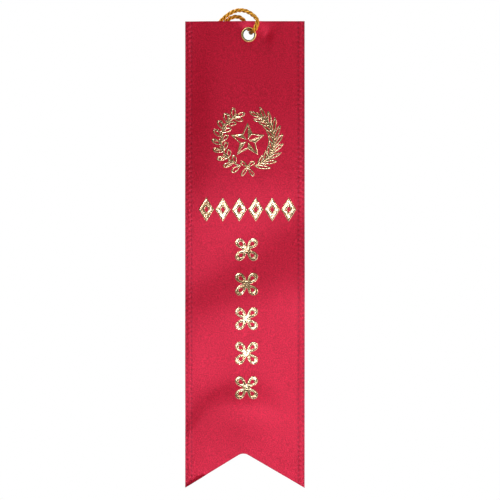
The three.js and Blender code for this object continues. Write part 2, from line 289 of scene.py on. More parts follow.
def swell(x, z, centre_x, centre_z, across, down, rise):
    """How far forward one dent or swell brings the cloth."""
    return rise * np.exp(-(((x - centre_x) / across) ** 2 + ((z - centre_z) / down) ** 2) / 2)


def curl(x, z):
    """How far forward the left tip curls along its cut edge."""
    grown = smooth((CURL["grows"] - x) / CURL["grows_over"])
    eased = 1 - CURL["eases_by"] * smooth((CURL["eases"] - x) / CURL["eases_over"])
    above_cut = np.maximum(z - cut_line(x), 0)
    return CURL["rise"] * np.exp(-above_cut / CURL["reach"]) * (grown * eased)


def hang(x, z):
    """How far forward the cloth stands at x and z. It lies flat under the eyelet."""
    free = smooth((np.hypot(x, z) - FRONT_FLANGE) / FLAT_MARGIN)
    waves = folds(x, z) + sum(swell(x, z, *values) for values in SWELLS)
    return waves * free + curl(x, z)


# ---- The ribbon ----


def cut_line(x):
    """Height z of the swallowtail's cut edge at each x."""
    apex = np.array([MIDDLE + NOTCH_SIDE, BOTTOM + NOTCH_DEPTH])
    slope_left = NOTCH_DEPTH / (apex[0] - LEFT)
    slope_right = NOTCH_DEPTH / (RIGHT - apex[0])
    straight = np.where(x < apex[0], apex[1] + (x - apex[0]) * slope_left,
                        apex[1] - (x - apex[0]) * slope_right)
    left_angle, right_angle = math.atan(slope_left), math.atan(slope_right)
    half = (math.pi - left_angle - right_angle) / 2
    tilt = (left_angle - right_angle) / 2
    reach = NOTCH_RADIUS / math.sin(half)
    centre = apex + reach * np.array([math.sin(tilt), -math.cos(tilt)])
    bend = centre[1] + np.sqrt(np.maximum(NOTCH_RADIUS**2 - (x - centre[0]) ** 2, 0))
    start = centre[0] - NOTCH_RADIUS * math.sin(left_angle)
    end = centre[0] + NOTCH_RADIUS * math.sin(right_angle)
    return np.where((x > start) & (x < end), bend, straight)


def graded(stops):
    """Positions from the first stop to the last, with each stop's own spacing up to the next."""
    spans = [
        np.linspace(start, end, max(1, round((end - start) / spacing)), endpoint=False)
        for (start, spacing), (end, _) in zip(stops, stops[1:])
    ]
    return np.concatenate([*spans, [stops[-1][0]]])


def cloth_grid():
    """The x and z of every point of the cloth's grid."""
    fine, middling, coarse = 0.3, 0.45, 0.9  # spacing at the selvedges, by the eyelet and between
    by_eyelet = 5
    columns = graded([
        (LEFT, fine), (LEFT + SELVEDGE, coarse), (-by_eyelet, middling), (by_eyelet, coarse),
        (RIGHT - SELVEDGE, fine), (RIGHT, fine),
    ])
    level = -165.0  # below this height the rows bend down to the cut
    row_spacing = 0.36
    upper = np.linspace(TOP, level, round((TOP - level) / row_spacing), endpoint=False)
    share = np.linspace(0, 1, round((level - BOTTOM) / row_spacing) + 1)
    cut = cut_line(columns)
    lower = level + share[:, None] * (cut[None, :] - level)
    z = np.concatenate([np.repeat(upper[:, None], len(columns), axis=1), lower])
    x = np.repeat(columns[None, :], len(z), axis=0)
    return x, z


def punch(x, z):
    """Marks the grid's cells outside the hole, and pulls the points round it onto the circle."""
    centre_x = (x[:-1, :-1] + x[1:, 1:]) / 2
    centre_z = (z[:-1, :-1] + z[1:, 1:]) / 2
    keep = np.hypot(centre_x, centre_z) > HOLE
    edge = cell_corners(keep) & cell_corners(~keep)
    radius = np.hypot(x[edge], z[edge])
    x[edge] *= HOLE / radius
    z[edge] *= HOLE / radius
    return keep


def stripe(inset, place, width):
    """A soft stripe along the cloth's edge: 1 at its place in from the edge, and 0 away from it."""
    return np.exp(-(((inset - place) / width) ** 2))


def selvedge_beads(x, z):
    """The woven border: how far the cloth is raised, and how dark its stitch marks are."""
    inset = np.minimum(x - LEFT, RIGHT - x)
    pitch, slant, lag = 2.05, 0.35, 2.4  # of the stitches along the border
    beat = 0.5 + 0.5 * np.cos(2 * math.pi * (z + slant * inset) / pitch)
    between = 0.5 + 0.5 * np.cos(2 * math.pi * (z - slant * inset) / pitch + lag)
    outer = stripe(inset, place=0.75, width=0.34)
    inner = stripe(inset, place=2.7, width=0.34)
    bead = stripe(inset, place=1.7, width=0.55) * between
    groove = stripe(inset, place=SELVEDGE, width=0.3)
    edge = stripe(inset, place=0, width=0.25)
    bead_rise, stitch_dip, groove_dip = 0.10, 0.06, 0.03
    raised = bead_rise * bead - stitch_dip * (outer + inner) * beat - groove_dip * groove
    dark = outer * beat**1.5 + inner * (0.2 + 0.8 * beat) + 0.9 * edge
    return raised, dark


def ribbon(finish):
    """The cloth, as a closed shell with its hole, its selvedges and its cut edges."""
    uv_unit, frayed = 50, 0.35  # mm of cloth in one unit of uv, and how deep the cut edges darken
    x, z = cloth_grid()
    keep = punch(x, z)
    columns = x.shape[1]
    x, z = x.ravel(), z.ravel()
    raised, dark = selvedge_beads(x, z)
    shape = hang(x, z)
    front = np.stack([x, FACE - shape - raised, z], axis=1)
    back = np.stack([x, BACK - shape + raised, z], axis=1)
    points, faces, used = close_shell(front, back, grid_quads(columns, keep))
    both = np.concatenate([used, used])
    cut = np.minimum(TOP - z, z - cut_line(x))
    piece = make_piece(
        "ribbon_satin", points, faces, finish,
        uv=np.stack([x, z], axis=1)[both] / uv_unit,
        fields={"stitch": dark[both], "cut": np.exp(-cut[both] / frayed)},
    )
    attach(piece, "ribbon")
    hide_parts("ribbon")
    return piece


# ---- The eyelet ----


def lathe(profile, segments):
    """Points and faces of a closed profile of (radius, y) pairs turned about the Y axis."""
    turns = np.linspace(0, 2 * math.pi, segments, endpoint=False)
    radius, y = np.asarray(profile, float).T
    points = np.stack([
        np.cos(turns)[:, None] * radius, np.broadcast_to(y, (segments, len(y))),
        np.sin(turns)[:, None] * radius,
    ], axis=2).reshape(-1, 3)
    ring = np.arange(len(profile))
    faces = []
    for i in range(segments):
        here, there = i * len(profile), (i + 1) % segments * len(profile)
        after = np.roll(ring, -1)
        faces.append(np.stack([here + ring, there + ring, there + after, here + after], axis=1))
    return points, np.concatenate(faces)


def roll(inner, outer, seat, top, steps=12):
    """A half-round flange from its outer edge to its inner edge."""
    turns = np.linspace(0, math.pi, steps)
    middle, half = (inner + outer) / 2, (outer - inner) / 2
    return [(middle + half * math.cos(a), seat + (top - seat) * math.sin(a)) for a in turns]


def eyelet(finish):
    """The barrel with its two rolled flanges, as one turned ring."""
    lip = 0.16  # the front roll ends in a small step before the barrel's throat
    lip_corner = [(BORE + lip, 0.12), (BORE + 0.05, 0.14)]  # radius, and how far before the seat
    gap = 0.03  # between each roll and the cloth
    wall = BORE + 0.25  # outer radius of the barrel
    front_seat, back_seat = FACE - gap, BACK + gap
    profile = [
        *roll(BORE + lip, FRONT_FLANGE, front_seat, -FRONT_TOP),
        *[(radius, front_seat - height) for radius, height in lip_corner],
        (BORE, front_seat), (BORE, back_seat),
        *reversed(roll(BORE, BACK_FLANGE, back_seat, BACK_TOP)),
        (wall, back_seat), (wall, front_seat),
    ]
    points, faces = lathe(profile, segments=96)
    radius = np.hypot(points[:, 0], points[:, 2])
    # Painted shade darkens the barrel's throat, out onto the inner edge of the front roll.
    dark_reach, dark_edge = 0.34, 0.14  # how far the dark throat comes onto the roll
    throat = smooth((BORE + lip + dark_reach - radius) / dark_edge)
    piece = make_piece("eyelet_brass", points, faces, finish,
                       fields={"throat": throat}, crease=40)
    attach(piece, "ribbon")
    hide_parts("eyelet")
    return piece


# ---- Flat drawings, for the foil ----


def polar(radius, degrees):
    """The x and z of a point, by its angle from +X towards +Z."""
    angle = math.radians(degrees)
    return radius * np.array([math.cos(angle), math.sin(angle)])


def edge_distance(x, z, outline):
    """Distance from each point to a closed outline."""
    nearest = np.full(x.shape, np.inf)
    for start, end in zip(outline, np.roll(outline, -1, axis=0)):
        along = end - start
        share = ((x - start[0]) * along[0] + (z - start[1]) * along[1]) / (along @ along)
        share = np.clip(share, 0, 1)
        gap = np.hypot(x - start[0] - share * along[0], z - start[1] - share * along[1])
        nearest = np.minimum(nearest, gap)
    return nearest


def inside(x, z, outline):
    """True where a point lies inside a closed outline."""
    crossings = np.zeros(x.shape, int)
    for (x1, z1), (x2, z2) in zip(outline, np.roll(outline, -1, axis=0)):
        if z1 == z2:
            continue
        spans = (z1 > z) != (z2 > z)
        crossings += spans & (x < x1 + (z - z1) * (x2 - x1) / (z2 - z1))
    return crossings % 2 == 1


def filled(x, z, outline):
    """Signed distance to a filled outline, below 0 inside."""
    return edge_distance(x, z, outline) * np.where(inside(x, z, outline), -1, 1)


def drawing_distance(x, z, shapes):
    """Signed distance to a drawing: a list of (outline, hole), with hole None where it is solid."""
    reach = 0.8  # distances further out than this aren't needed
    nearest = np.full(x.shape, reach)
    for outline, hole in shapes:
        low, high = outline.min(axis=0) - reach, outline.max(axis=0) + reach
        near = (x > low[0]) & (x < high[0]) & (z > low[1]) & (z < high[1])
        gap = filled(x[near], z[near], outline)
        if hole is not None:
            gap = np.maximum(gap, -filled(x[near], z[near], hole))
        nearest[near] = np.minimum(nearest[near], gap)
    return nearest


def pull_to_outline(x, z, gap, edge, step):
    """Moves the points marked by edge onto the drawing's outline."""
    least_slope, farthest = 0.2, 0.7 * step
    slope_z, slope_x = np.gradient(gap, -step, step)
    steep = slope_x**2 + slope_z**2
    shift = np.where(edge, gap / np.maximum(steep, least_slope), 0)
    shift = np.clip(shift, -farthest, farthest)
    return x - shift * slope_x, z - shift * slope_z


def stamp(name, node, shapes, relief, finish, step=0.12):
    """A foil piece: a drawing pressed onto the cloth, as thick as relief says at each depth."""
    corners = np.concatenate([outline for outline, _ in shapes])
    low, high = corners.min(axis=0) - 2 * step, corners.max(axis=0) + 2 * step
    columns = np.arange(low[0], high[0], step)
    rows = np.arange(high[1], low[1], -step)
    x, z = np.meshgrid(columns, rows)
    gap = drawing_distance(x, z, shapes)
    cells = (gap[:-1, :-1] + gap[1:, :-1] + gap[:-1, 1:] + gap[1:, 1:]) / 4
    keep = cells < 0
    edge = cell_corners(keep) & cell_corners(~keep)
    x, z = pull_to_outline(x, z, gap, edge, step)
    depth = np.where(edge, 0, -gap)
    height = relief(depth)
    for rise, size, seed in CRINKLES:
        height = height + rise * grain(x, z, size, seed)
    lift = hang(x, z)
    sunk = 0.03  # how far the foil's back is below the cloth's face
    front = np.stack([x, FACE - lift - height, z], axis=2).reshape(-1, 3)
    back = np.stack([x, FACE - lift + sunk, z], axis=2).reshape(-1, 3)
    points, faces, _ = close_shell(front, back, grid_quads(len(columns), keep))
    piece = make_piece(name, points, faces, finish, crease=70)
    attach(piece, "ribbon")
    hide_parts(node)
    return piece


def raised_line(depth):
    """The relief of a drawn line: a rounded ridge."""
    return FOIL_EDGE + FOIL_RISE * np.sin(math.pi / 2 * np.clip(depth / (LEAF_LINE / 2), 0, 1))


def pressed(depth):
    """The relief of a broad stroke: a raised lip with a sunken floor inside it."""
    lip, slope = 0.2, 0.4  # widths of the lip and of the way down from it
    return FOIL_EDGE + FOIL_RISE * smooth(depth / lip) - FOIL_RISE * smooth((depth - lip) / slope)


# ---- The emblem ----


def star_shapes():
    """Five points, each with one half filled and the other drawn as a line."""
    hub = 0.42  # the filled halves stop this far from the centre
    lap = 0.5  # how far a line runs into the next filled half
    arms = 5
    turn = 360 / arms
    shapes = []
    for arm in range(arms):
        heading = 90 - turn * arm
        tip = EMBLEM + polar(STAR_TIP, heading)
        near = EMBLEM + polar(STAR_NOTCH, heading - turn / 2)
        half = np.array([tip, near, EMBLEM + polar(hub, heading - turn / 4)])
        notch = EMBLEM + polar(STAR_NOTCH, heading + turn / 2)
        along = (notch - tip) / np.linalg.norm(notch - tip)
        inward = LINE * np.array([-along[1], along[0]])
        end = notch + lap * along
        inner_tip = EMBLEM + polar(STAR_TIP - 3 * LINE, heading - 1)
        line = np.array([tip, end, end + inward, inner_tip])
        shapes += [(half, None), (line, None)]
    return shapes


def leaf_points(base, heading, length, width, bulge, count):
    """Points of a leaf from its base. bulge above 0 makes the far end rounder."""
    forward = polar(1, heading)
    across = np.array([forward[1], -forward[0]])
    turn = np.linspace(0, 2 * math.pi, count, endpoint=False)
    half = width / 2 * np.sin(turn) * np.sin(turn / 2) ** bulge
    along = length * (1 - np.cos(turn)) / 2
    return base + along[:, None] * forward + half[:, None] * across


def leaf_ring(base, heading, length, width, bulge, line=LEAF_LINE, count=36):
    """A leaf drawn as a line round its outline. The line is longer at the leaf's narrow ends."""
    at_base, at_both_ends = 1.6 * line, 2.8 * line
    outline = leaf_points(base, heading, length, width, bulge, count)
    inner = base + polar(at_base, heading)
    hole = leaf_points(inner, heading, length - at_both_ends, width - 2 * line, bulge, count)
    return outline, hole


def disc(centre, radius, count=24):
    return np.array([centre + polar(radius, 360 * i / count) for i in range(count)]), None


def bar(start, end, width):
    """A filled bar between two points."""
    along = (end - start) / np.linalg.norm(end - start)
    side = np.array([-along[1], along[0]]) * width / 2
    return np.array([start + side, start - side, end - side, end + side]), None


def on_branch(side, radius, degrees):
    """A point of a branch: from -90 degrees at the bow, through 0 at the side, to 90 at the top."""
    point = polar(radius, degrees)
    return EMBLEM + np.array([side * point[0], point[1]])


def growth(side, degrees, lean):
    """The heading of a leaf that leans outwards from the stem's direction of growth."""
    return degrees + 90 - lean if side > 0 else 90 - degrees + lean


def stem(side):
    """A branch's curved stem."""
    turns = np.linspace(*STEM_ENDS, 33)
    outer = [on_branch(side, STEM + STEM_WIDTH / 2, degrees) for degrees in turns]
    inner = [on_branch(side, STEM - STEM_WIDTH / 2, degrees) for degrees in turns[::-1]]
    return np.array(outer + inner), None


def leaf_bases(side, first, last, count, lean):
    """Where each leaf of a row starts from the stem, and its heading."""
    return [
        (on_branch(side, STEM, degrees), growth(side, degrees, lean))
        for degrees in np.linspace(first, last, count)
    ]


def leaves(side, rows):
    return [
        leaf_ring(base, heading, *size)
        for spread, size in rows
        for base, heading in leaf_bases(side, *spread)
    ]


def laurel_shapes():
    """Narrow pointed leaves with a berry at each outer tip."""
    outer_row, _ = LAUREL_ROWS[0]
    berries = [
        disc(base + polar(BERRY["reach"], heading), BERRY["radius"])
        for base, heading in leaf_bases(1, *outer_row)
    ]
    return [stem(1), *leaves(1, LAUREL_ROWS), *berries]


def oak_shapes():
    """Rounded leaves with acorns between them."""
    acorns = []
    for degrees in np.linspace(ACORN["start"], ACORN["end"], ACORN["count"]):
        foot = on_branch(-1, STEM, degrees - ACORN["trails"])
        cup = on_branch(-1, STEM + ACORN["reach"], degrees)
        acorns += [bar(foot, cup, ACORN["stalk"]), disc(cup, ACORN["radius"])]
    return [stem(-1), *leaves(-1, OAK_ROWS), *acorns]


def bow_shapes():
    """A knot with two loops above it and two ends below."""
    centre = EMBLEM + polar(STEM, -90)
    loops = [leaf_ring(centre, heading, length=3.8, width=2.3, bulge=0.8) for heading in (38, 142)]
    ends = [leaf_ring(centre, heading, length=4.8, width=2.1, bulge=0.8) for heading in (-56, -124)]
    return [disc(centre, radius=0.95), *loops, *ends]


def emblem(finish):
    """The star, the two branches of the wreath and its bow."""
    return [
        stamp("foil_relief_star", "foil_star", star_shapes(), pressed, finish),
        stamp("foil_relief_oak", "foil_wreath_left", oak_shapes(), raised_line, finish),
        stamp("foil_relief_laurel", "foil_wreath_right", laurel_shapes(), raised_line, finish),
        stamp("foil_relief_bow", "foil_bow", bow_shapes(), raised_line, finish),
    ]


# ---- The row of lozenges and the column of rosettes ----


def lozenge_shapes(node):
    """An open lozenge that fills its CAD node's box."""
    low, high = box_mm(node)
    centre = (low + high)[[0, 2]] / 2
    half_width, half_height = (high - low)[[0, 2]] / 2
    corners = np.array([(0, half_height), (-half_width, 0), (0, -half_height), (half_width, 0)])
    shrink = LOZENGE_LINE / half_width * math.hypot(1, half_width / half_height)
    return [(centre + corners, centre + corners * (1 - shrink))]


def rosette_shapes(node):
    """Four open petals round a hub, in the middle of its CAD node's box."""
    low, high = box_mm(node)
    centre = (low + high)[[0, 2]] / 2
    petals = [
        leaf_ring(centre, heading, ROSETTE["petal"], ROSETTE["breadth"], ROSETTE["bulge"],
                  ROSETTE["line"])
        for heading in (45, 135, 225, 315)
    ]
    return [disc(centre, ROSETTE["hub"]), *petals]


def marks(finish):
    """The row of lozenges and the column of rosettes."""
    kinds = [("lozenge", LOZENGES, lozenge_shapes), ("rosette", ROSETTES, rosette_shapes)]
    pieces = []
    for kind, count, draw in kinds:
        for i in range(1, count + 1):
            node = f"foil_{kind}_{i}"
            pieces.append(stamp(f"foil_relief_{kind}_{i}", node, draw(node), pressed, finish))
    return pieces


# ---- The cord ----


def travelled(path):
    """Each point's distance along a path."""
    return np.concatenate([[0], np.cumsum(np.linalg.norm(np.diff(path, axis=0), axis=1))])


def curve_through(points, step):
    """A centripetal Catmull-Rom curve through the points, with a point every step along it."""
    samples = 40  # between two of the given points, before the curve is spaced evenly
    p = np.asarray(points, float)
    p = np.concatenate([[2 * p[0] - p[1]], p, [2 * p[-1] - p[-2]]])
    knots = np.concatenate([[0], np.cumsum(np.linalg.norm(np.diff(p, axis=0), axis=1) ** 0.5)])
    dense = []
    for i in range(1, len(p) - 2):
        t0, t1, t2, t3 = knots[i - 1: i + 3]
        t = np.linspace(t1, t2, samples, endpoint=False)[:, None]
        a1 = ((t1 - t) * p[i - 1] + (t - t0) * p[i]) / (t1 - t0)
        a2 = ((t2 - t) * p[i] + (t - t1) * p[i + 1]) / (t2 - t1)
        a3 = ((t3 - t) * p[i + 1] + (t - t2) * p[i + 2]) / (t3 - t2)
        b1 = ((t2 - t) * a1 + (t - t0) * a2) / (t2 - t0)
        b2 = ((t3 - t) * a2 + (t - t1) * a3) / (t3 - t1)
        dense.append(((t2 - t) * b1 + (t - t1) * b2) / (t2 - t1))
    dense = np.concatenate([*dense, [p[-2]]])
    travel = travelled(dense)
    even = np.linspace(0, travel[-1], round(travel[-1] / step) + 1)
    return np.stack([np.interp(even, travel, dense[:, k]) for k in range(3)], axis=1)


def frames_along(path):
    """Two cross directions at each point of a path, turning no more than the path does."""
    tangent = np.gradient(path, axis=0)
    tangent /= np.linalg.norm(tangent, axis=1)[:, None]
    first = np.cross(tangent[0], [1.0, 0.0, 0.0])
    sides = [first / np.linalg.norm(first)]
    for direction in tangent[1:]:
        side = sides[-1] - direction * (sides[-1] @ direction)
        sides.append(side / np.linalg.norm(side))
    side = np.array(sides)
    return side, np.cross(tangent, side)


def knot_turns(strand):
    """One strand's way through the knot: it winds round the knot's axis beside the other one.
    strand is -1 for the front strand and 1 for the back one."""
    first_angle = -60  # degrees
    overrun = 1.1  # how far the winding goes from top to bottom, in heights of the coil
    apart = 0.8  # how far each strand lies above or below the middle of the two
    share = np.linspace(0.06, 0.94, 19)  # of the way down through the knot
    angle = math.radians(first_angle) + 2 * math.pi * KNOT["turns"] * share
    swing = np.sin(math.pi * share) ** 0.6  # the coil opens from its top and closes at its bottom
    x = KNOT["x"] + strand * (1 - swing) + KNOT["radius"] * swing * np.cos(angle)
    y = KNOT["y"] + KNOT["radius"] * swing * np.sin(angle)
    z = KNOT["z"] + KNOT["height"] * (0.5 - share) * overrun + strand * apart * swing
    return np.stack([x, y, z], axis=1)


def tube_faces(rings, sides, first):
    """The faces of a tube with closed ends, whose points run ring by ring from number first."""
    row = np.arange(rings - 1)[:, None] * sides
    here = row + np.arange(sides)[None, :]
    after = row + (np.arange(sides)[None, :] + 1) % sides
    quads = np.stack([here, after, after + sides, here + sides], axis=2).reshape(-1, 4) + first
    last = first + (rings - 1) * sides
    start_cap = list(range(first + sides - 1, first - 1, -1))
    end_cap = list(range(last, last + sides))
    return [*quads.tolist(), start_cap, end_cap]


def ply_tubes(path, side, other, travel, swollen):
    """The plies laid round a path. travel is each point's distance along the whole cord, and
    swollen how many times its usual thickness the cord has there."""
    uv_unit, uv_slant = 10, 0.35  # mm of cord in one unit of u, and how far v turns with the lay
    points, faces, uv, out_of_groove_shade = [], [], [], []
    around = np.linspace(0, 2 * math.pi, PLY_SIDES, endpoint=False)
    for ply in range(PLIES):
        turn = -2 * math.pi * (travel / LAY + ply / PLIES)
        direction = np.cos(turn)[:, None] * side + np.sin(turn)[:, None] * other
        ring = PLY_OFFSET * direction[:, None] + PLY_RADIUS * (
            np.cos(around)[None, :, None] * side[:, None]
            + np.sin(around)[None, :, None] * other[:, None]
        )
        points.append((path[:, None] + ring * swollen[:, None, None]).reshape(-1, 3))
        # How far out from the cord's middle each point lies, which places the painted shade in the
        # grooves between the plies.
        out_of_groove_shade.append(np.linalg.norm(ring, axis=2).ravel() / (PLY_RADIUS + PLY_OFFSET))
        u = travel[:, None] / uv_unit
        v = (around[None, :] + turn[:, None] * uv_slant) / math.pi
        uv.append(np.stack(np.broadcast_arrays(u, v), axis=2).reshape(-1, 2))
        faces += tube_faces(len(path), PLY_SIDES, ply * len(path) * PLY_SIDES)
    return np.concatenate(points), faces, np.concatenate(uv), np.concatenate(out_of_groove_shade)


def whole_cord(step=0.25):
    """The cord's path from one tail's end to the other's, and where along it the stretches meet."""
    front = [*FRONT_ROUTE, *knot_turns(-1), *FRONT_TAIL]
    back = [*BACK_ROUTE[1:], *knot_turns(1), *BACK_TAIL]
    path = curve_through([*front[::-1], *back], step)

    def nearest(point):
        return int(np.argmin(np.linalg.norm(path - np.asarray(point, float), axis=1)))

    stops = [
        0, nearest(FRONT_TAIL[0]), nearest(FRONT_ROUTE[-1]), nearest(FRONT_ROUTE[0]),
        nearest(BACK_ROUTE[-1]), nearest(BACK_TAIL[0]), len(path) - 1,
    ]
    return path, stops


def thickness(path, travel):
    """How many times its usual thickness the cord has at each point of its path."""
    slack, slack_reach = 0.2, 1.8  # it swells where it comes over the eyelet's front rim
    parted, parted_reach = 0.35, 0.9  # and its plies part a little at the two cut ends
    from_rim = np.linalg.norm(path - np.array(FRONT_ROUTE[RIM]), axis=1)
    from_end = np.minimum(travel, travel[-1] - travel)
    at_rim = slack * np.exp(-(from_rim / slack_reach) ** 2)
    at_ends = parted * np.exp(-(from_end / parted_reach) ** 2)
    return 1 + at_rim + at_ends


def cord_stretches(finish):
    """The cord's six pieces in order along it, and the path of each."""
    names = ["cord_tail_a", "cord_knot_a", "cord_front", "cord_back", "cord_knot_b", "cord_tail_b"]
    # Painted shade darkens the cord in the bore. It ends this far past the bore's wall, over this
    # width.
    bore_shade_past, bore_shade_edge = 0.2, 0.7
    path, stops = whole_cord()
    side, other = frames_along(path)
    travel = travelled(path)
    swollen = thickness(path, travel)
    pieces, paths = [], []
    for name, start, end in zip(names, stops, stops[1:]):
        part = slice(start, end + 1)
        points, faces, uv, out_of_groove_shade = ply_tubes(
            path[part], side[part], other[part], travel[part], swollen[part])
        radius = np.hypot(points[:, 0], points[:, 2])
        # Painted shade: darker where the cord lies inside the eyelet's bore.
        bore_shade = smooth((BORE + bore_shade_past - radius) / bore_shade_edge)
        pieces.append(make_piece(name, points, faces, finish, uv=uv,
                                 fields={"out_of_groove_shade": out_of_groove_shade, "bore_shade": bore_shade}, crease=180))
        paths.append(path[part])
    return pieces, paths


def cord(finish):
    """The whole cord, with what each of its pieces rides on and replaces."""
    pieces, paths = cord_stretches(finish)
    tail_front, knot_front, strand_front, strand_back, knot_back, tail_back = pieces

    # Each strand's transform is baked into its points.
    for piece in (strand_front, strand_back):
        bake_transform(piece)
    for piece in (tail_front, knot_front, knot_back, tail_back):
        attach(piece, "cord_loop")
    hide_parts("cord_in_eyelet", "cord_strand_front")
    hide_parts("cord_strand_back")
    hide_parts("cord_knot")
    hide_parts("cord_tail_front")
    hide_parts("cord_tail_back")


# ---- Finishes ----

# Colours, as linear red, green and blue.
SATIN_DEEP, SATIN_BRIGHT = (0.54, 0.001, 0.010), (0.92, 0.011, 0.052)
STITCH = (0.30, 0.004, 0.014)
FOIL_DEEP, FOIL_BRIGHT = (0.50, 0.215, 0.032), (0.92, 0.72, 0.38)
BRASS_DEEP, BRASS_BRIGHT = (1.0, 0.70, 0.22), (1.0, 0.86, 0.40)
# Painted shade for the throat of the eyelet's barrel.
THROAT_SHADE = (0.04, 0.02, 0.008)
RAYON_DEEP, RAYON_BRIGHT = (1.0, 0.34, 0.010), (1.0, 0.60, 0.07)
RAYON_PATCH = (0.9, 0.34, 0.015)
# Painted shade in the grooves between the plies.
RAYON_GROOVE_SHADE = (0.20, 0.03, 0.002)
# Painted shade on the cord inside the eyelet's bore.
RAYON_BORE_SHADE = (0.13, 0.035, 0.006)


class Nodes:
    """Short calls to add nodes to a tree and to set or link their sockets."""

    def __init__(self, tree):
        self.tree = tree

    def put(self, socket, value):
        """Links a socket to another node's output, or gives it a plain value."""
        if isinstance(value, bpy.types.NodeSocket):
            self.tree.links.new(value, socket)
        else:
            socket.default_value = value

    def node(self, kind, sockets=None, **settings):
        """A new node with its settings and its input sockets filled in."""
        made = self.tree.nodes.new("ShaderNode" + kind)
        for name, value in settings.items():
            setattr(made, name, value)
        for name, value in (sockets or {}).items():
            self.put(made.inputs[name], value)
        return made

    def math(self, operation, first, second=0.0, clamp=False):
        made = self.node("Math", operation=operation, use_clamp=clamp)
        self.put(made.inputs[0], first)
        self.put(made.inputs[1], second)
        return made.outputs[0]

    def stretched(self, value, low, high, start=0.0, end=1.0):
        """A value from low to high mapped onto start to end."""
        sockets = {"From Min": low, "From Max": high, "To Min": start, "To Max": end}
        return self.node("MapRange", {"Value": value, **sockets}).outputs["Result"]

    def show(self, output, share, first, second):
        """Shows the first shader where share is 0 and the second where it is 1."""
        mix = self.node("MixShader", {"Fac": share})
        self.put(mix.inputs[1], first)
        self.put(mix.inputs[2], second)
        self.put(self.tree.nodes[output].inputs["Surface"], mix.outputs["Shader"])


class Finish(Nodes):
    """A material, with what its textures need."""

    def __init__(self, name):
        self.material = bpy.data.materials.new(name)
        self.material.use_nodes = True
        super().__init__(self.material.node_tree)
        self.shader = self.tree.nodes["Principled BSDF"]

    def scaled(self, x, y, z):
        """The place on the piece, in units of 1/x, 1/y and 1/z metres."""
        place = self.node("TexCoord").outputs["Object"]
        return self.node("Mapping", {"Vector": place, "Scale": (x, y, z)}).outputs["Vector"]

    def noise(self, vector, detail=2.0, roughness=0.5):
        sockets = {"Vector": vector, "Scale": 1.0, "Detail": detail, "Roughness": roughness}
        return self.node("TexNoise", sockets).outputs["Fac"]

    def blend_colours(self, share, first, second):
        """The first colour where share is 0, the second where it is 1."""
        made = self.node("Mix", data_type="RGBA")
        self.put(made.inputs["Factor"], share)
        self.put(made.inputs["A"], (*first, 1.0) if isinstance(first, tuple) else first)
        self.put(made.inputs["B"], (*second, 1.0) if isinstance(second, tuple) else second)
        return made.outputs["Result"]

    def field(self, name):
        """The value that a piece's points hold under a name."""
        return self.node("Attribute", attribute_name=name).outputs["Fac"]

    def bump(self, height, distance, strength, under=None):
        """A bump of the given depth in metres, on top of another one where under is given."""
        sockets = {"Height": height, "Distance": distance, "Strength": strength}
        if under is not None:
            sockets["Normal"] = under
        return self.node("Bump", sockets).outputs["Normal"]

    def set(self, **sockets):
        """Fills the shader's own sockets, with _ for each space in a socket's name."""
        for name, value in sockets.items():
            self.put(self.shader.inputs[name.replace("_", " ")], value)


def satin_weave(finish):
    """Height of a five-end satin: long floats side by side, each caught down in its own row."""
    thread, pick, ends, step = 0.15 * MM, 0.15 * MM, 5.0, 2.0
    place = finish.scaled(1 / thread, 1, 1 / pick)
    split = finish.node("SeparateXYZ", {"Vector": place})
    column = finish.math("FLOOR", split.outputs["X"])
    across = finish.math("FRACT", split.outputs["X"])
    rounded = finish.math("SINE", finish.math("MULTIPLY", across, math.pi))
    stagger = finish.math("ADD", split.outputs["Z"], finish.math("MULTIPLY", column, step))
    along = finish.math("FRACT", finish.math("DIVIDE", stagger, ends))
    caught = finish.math("SINE", finish.math("MULTIPLY", along, math.pi))
    return finish.math("MULTIPLY", rounded, finish.math("POWER", caught, 0.35))


def satin():
    """Mottled crimson satin with darker stitches and cut edges. It shines across its threads."""
    finish = Finish("crimson satin")
    mottle = finish.noise(finish.scaled(2600, 2600, 1900), detail=2, roughness=0.6)
    threads = satin_weave(finish)
    cloud = finish.noise(finish.scaled(60, 60, 60), detail=1)
    colour = finish.blend_colours(finish.stretched(mottle, 0.3, 0.7), SATIN_DEEP, SATIN_BRIGHT)
    for field, darkness in (("stitch", 0.8), ("cut", 0.45)):
        share = finish.math("MULTIPLY", finish.field(field), darkness, clamp=True)
        colour = finish.blend_colours(share, colour, STITCH)
    rough = finish.math("ADD", finish.math("MULTIPLY", cloud, 0.08), 0.38)
    normal = finish.bump(mottle, distance=0.08 * MM, strength=0.8)
    normal = finish.bump(threads, distance=0.02 * MM, strength=0.6, under=normal)
    tangent = finish.node("Tangent", direction_type="UV_MAP", uv_map="Weave").outputs["Tangent"]
    finish.set(Base_Color=colour, Roughness=rough, Metallic=0.4, Normal=normal)
    finish.set(Tangent=tangent, Anisotropic=0.5)
    finish.set(Specular_IOR_Level=1.0, Specular_Tint=(1.0, 0.5, 0.9, 1.0))
    finish.set(Sheen_Weight=0.01, Sheen_Roughness=0.4, Sheen_Tint=(1.0, 0.45, 0.55, 1.0))
    return finish.material


def gold_foil():
    """Thin metal foil under a clear coat, uneven from the weave it is pressed onto."""
    finish = Finish("stamped gold foil")
    weave = finish.noise(finish.scaled(1900, 1900, 1900), detail=2)
    speck = finish.noise(finish.scaled(5200, 5200, 5200), detail=1)
    colour = finish.blend_colours(finish.stretched(weave, 0.4, 0.7), FOIL_DEEP, FOIL_BRIGHT)
    rough = finish.math("ADD", finish.math("MULTIPLY", speck, 0.2), 0.14)
    normal = finish.bump(weave, distance=0.06 * MM, strength=0.5)
    normal = finish.bump(speck, distance=0.02 * MM, strength=0.6, under=normal)
    finish.set(Base_Color=colour, Roughness=rough, Metallic=0.7, Normal=normal)
    finish.set(Specular_IOR_Level=1.0)
    finish.set(Coat_Weight=1.0, Coat_Roughness=0.18, Coat_IOR=2.4)
    return finish.material


